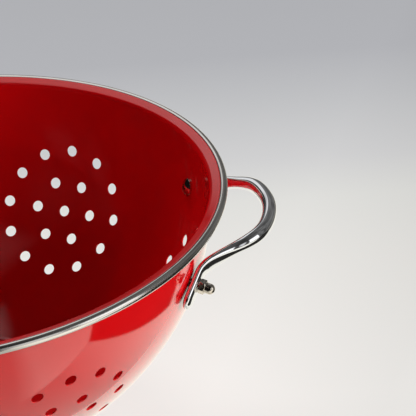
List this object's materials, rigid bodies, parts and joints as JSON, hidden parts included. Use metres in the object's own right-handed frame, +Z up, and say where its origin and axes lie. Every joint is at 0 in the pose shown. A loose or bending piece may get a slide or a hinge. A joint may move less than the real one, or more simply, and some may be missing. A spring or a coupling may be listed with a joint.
{
  "type": "colander",
  "caption": "Footed metal colander: a round coated steel bowl with rosettes of drain holes, a bright rolled rim band and two bolted rod handles.",
  "frame": {"origin": "centre of the foot ring's underside, on the surface that the colander stands on", "axes": "+Z up along the bowl's axis; +X towards the middle of the right handle; +Y completes the right-handed frame"},
  "size_m": [0.3186, 0.2758, 0.1204],
  "materials": {
    "red_enamel": "glossy red enamel coat over pressed steel",
    "polished_steel": "mirror polished stainless steel",
    "bright_plating": "bright nickel plating"
  },
  "bodies": {
    "root": {"bowl": "red_enamel", "rim_band": "polished_steel", "foot_ring": "red_enamel", "handle_right": "polished_steel", "handle_left": "polished_steel", "screw_right_front": "bright_plating", "screw_right_back": "bright_plating", "screw_left_front": "bright_plating", "screw_left_back": "bright_plating", "cap_nut_right_front": "bright_plating", "cap_nut_right_back": "bright_plating", "cap_nut_left_front": "bright_plating", "cap_nut_left_back": "bright_plating"}
  },
  "joints": []
}
